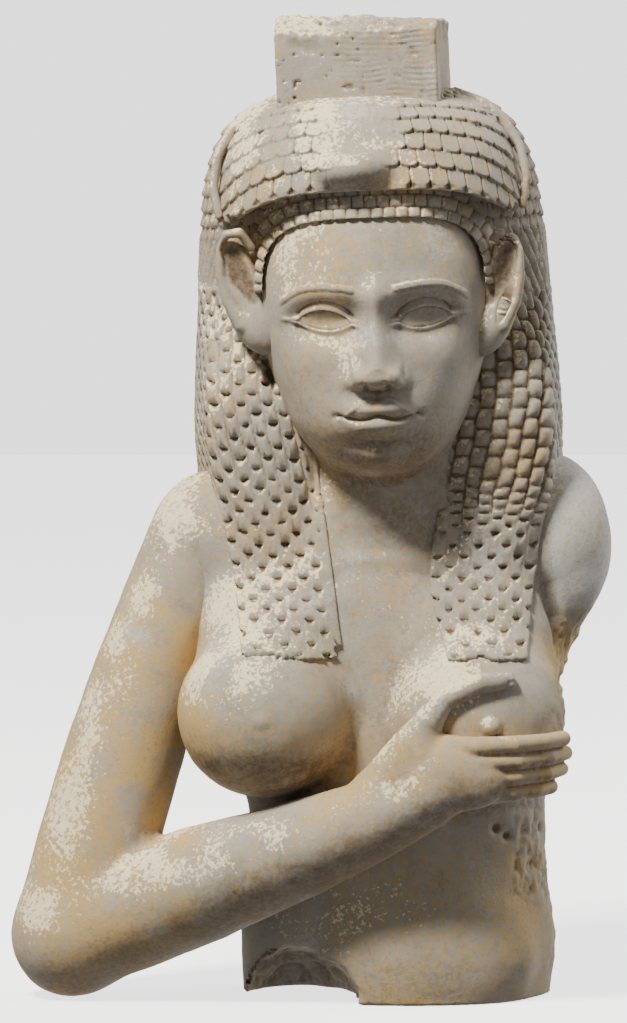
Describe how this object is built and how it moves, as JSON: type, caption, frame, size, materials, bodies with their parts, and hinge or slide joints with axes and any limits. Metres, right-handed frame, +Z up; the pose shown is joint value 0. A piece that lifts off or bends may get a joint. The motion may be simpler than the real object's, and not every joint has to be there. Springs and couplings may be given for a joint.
{
  "type": "isis statue fragment",
  "caption": "Upper part of a carved limestone statue of Isis with a vulture headdress and braided wig, one hand on the breast and the left arm lost.",
  "frame": {"origin": "on the flat cut underside of the waist, at the middle of its width and depth", "axes": "+Z up from the waist to the block on the head; -Y the way the face looks; +X towards the statue's left arm, the viewer's right"},
  "size_m": [0.3, 0.1821, 0.4874],
  "materials": {
    "limestone": "weathered, matt, with ochre and brown stains"
  },
  "bodies": {
    "root": {"isis_statue": "limestone"}
  },
  "joints": []
}
